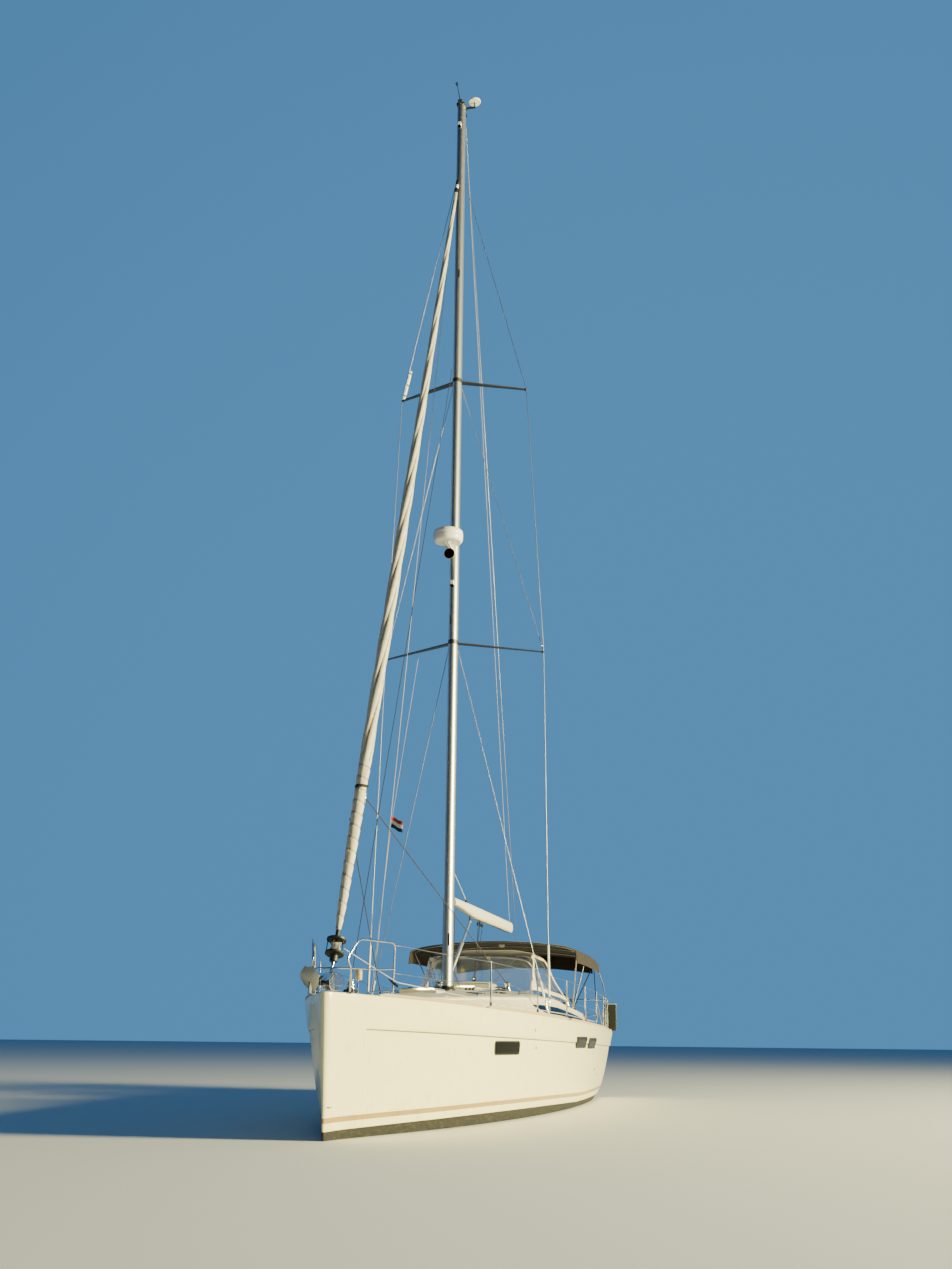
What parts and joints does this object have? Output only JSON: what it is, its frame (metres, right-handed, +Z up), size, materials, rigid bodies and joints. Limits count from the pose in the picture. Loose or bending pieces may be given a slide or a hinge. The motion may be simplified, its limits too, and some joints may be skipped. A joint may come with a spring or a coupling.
{
  "type": "cruising sailing yacht",
  "caption": "Keeled sailing yacht with a tall two-spreader rig, furled sails, bimini, sprayhood, helm wheels and a folding stern platform.",
  "frame": {"origin": "amidships on the centreline at the waterline", "axes": "+X towards the bow, +Y to port, +Z up the mast"},
  "size_m": [14.06, 4.0734, 22.0059],
  "materials": {
    "alloy": "anodised",
    "antifouling": "matte",
    "black": "matte",
    "boom_paint": "satin",
    "bronze": "polished",
    "canvas_brown": "woven",
    "canvas_cream": "woven",
    "deck": "satin",
    "galvanised": "galvanised",
    "gelcoat": "glossy",
    "glass": "tinted",
    "sail": "woven",
    "stainless": "polished",
    "teak": "oiled",
    "white": "glossy"
  },
  "bodies": {
    "boat": {"hull": "gelcoat", "toe_rail_port": "teak", "toe_rail_starboard": "teak", "keel": "antifouling", "saildrive_leg": "galvanised", "coachroof_and_coamings": "deck", "coachroof_window_port": "glass", "coachroof_window_starboard": "glass", "companionway_boards": "teak", "cockpit_bench_port": "gelcoat", "cockpit_bench_starboard": "gelcoat", "cockpit_table": "teak", "helm_pedestal_port": "gelcoat", "helm_pedestal_starboard": "gelcoat", "bow_roller": "stainless", "anchor": "galvanised", "windlass": "stainless", "pulpit_port": "stainless", "pulpit_starboard": "stainless", "lifelines_port": "stainless", "lifelines_starboard": "stainless", "pushpit_port": "stainless", "pushpit_starboard": "stainless", "mast": "alloy", "spreaders_lower": "alloy", "spreaders_upper": "alloy", "masthead_unit": "black", "radome": "white", "shrouds_port": "stainless", "shrouds_starboard": "stainless", "backstay_upper": "stainless", "backstay_leg_port": "stainless", "backstay_leg_starboard": "stainless", "radar_reflector": "white", "forestay_head": "stainless", "forestay_toggle": "stainless", "mainsheet_deck_block": "black", "bimini_canopy": "canvas_brown", "bimini_frame": "stainless", "sprayhood_canvas": "canvas_cream", "sprayhood_frame": "stainless", "winch_halyard_port": "stainless", "winch_halyard_starboard": "stainless", "winch_primary_port": "stainless", "winch_primary_starboard": "stainless", "stern_case": "black"},
    "boom_set": {"boom": "boom_paint", "vang": "alloy"},
    "rudder_body": {"rudder": "antifouling"},
    "wheel_port_body": {"steering_wheel_port": "stainless"},
    "wheel_starboard_body": {"steering_wheel_starboard": "stainless"},
    "propeller_body": {"propeller": "bronze"},
    "furler_body": {"furler_drum": "black", "headsail_roll": "sail"},
    "platform_body": {"transom_platform": "gelcoat"},
    "hatch_fore_body": {"hatch_fore": "glass"},
    "hatch_mid_body": {"hatch_mid": "glass"},
    "slide_body": {"companionway_slide": "glass"}
  },
  "joints": [
    {"name": "boom_swing", "type": "hinge", "parent": "boat", "child": "boom_set", "pos_m": [0.18228, 0, 3.35], "axis": [0, 0, 1], "range_deg": [-60, 60]},
    {"name": "rudder_turn", "type": "hinge", "parent": "boat", "child": "rudder_body", "pos_m": [-5.5, 0, -0.5], "axis": [0, 0, 1], "range_deg": [-35, 35]},
    {"name": "wheel_port_turn", "type": "hinge", "parent": "boat", "child": "wheel_port_body", "pos_m": [-5.43, 0.86, 1.64], "axis": [1, 0, 0], "range_deg": [-270, 270]},
    {"name": "wheel_starboard_turn", "type": "hinge", "parent": "boat", "child": "wheel_starboard_body", "pos_m": [-5.43, -0.86, 1.64], "axis": [1, 0, 0], "range_deg": [-270, 270]},
    {"name": "propeller_spin", "type": "hinge", "parent": "boat", "child": "propeller_body", "pos_m": [-2.83, 0, -0.7], "axis": [1, 0, 0], "continuous": true},
    {"name": "headsail_furl", "type": "hinge", "parent": "boat", "child": "furler_body", "pos_m": [6.52, 0, 1.9], "axis": [-0.3574, 0, 0.9339], "continuous": true},
    {"name": "platform_fold", "type": "hinge", "parent": "boat", "child": "platform_body", "pos_m": [-6.742, 0, 0.352], "axis": [0, -1, 0], "range_deg": [0, 90]},
    {"name": "hatch_fore_lift", "type": "hinge", "parent": "boat", "child": "hatch_fore_body", "pos_m": [1.77, 0, 1.852], "axis": [0, -1, 0], "range_deg": [0, 85]},
    {"name": "hatch_mid_lift", "type": "hinge", "parent": "boat", "child": "hatch_mid_body", "pos_m": [-1.03, 0, 1.994], "axis": [0, -1, 0], "range_deg": [0, 85]},
    {"name": "companionway_slide_open", "type": "slide", "parent": "boat", "child": "slide_body", "axis": [1, 0, 0], "range_m": [0, 0.6]}
  ],
  "couplings": [
    {"joint": "wheel_port_turn", "follows": "rudder_turn", "ratio": 7.7},
    {"joint": "wheel_starboard_turn", "follows": "rudder_turn", "ratio": 7.7}
  ]
}
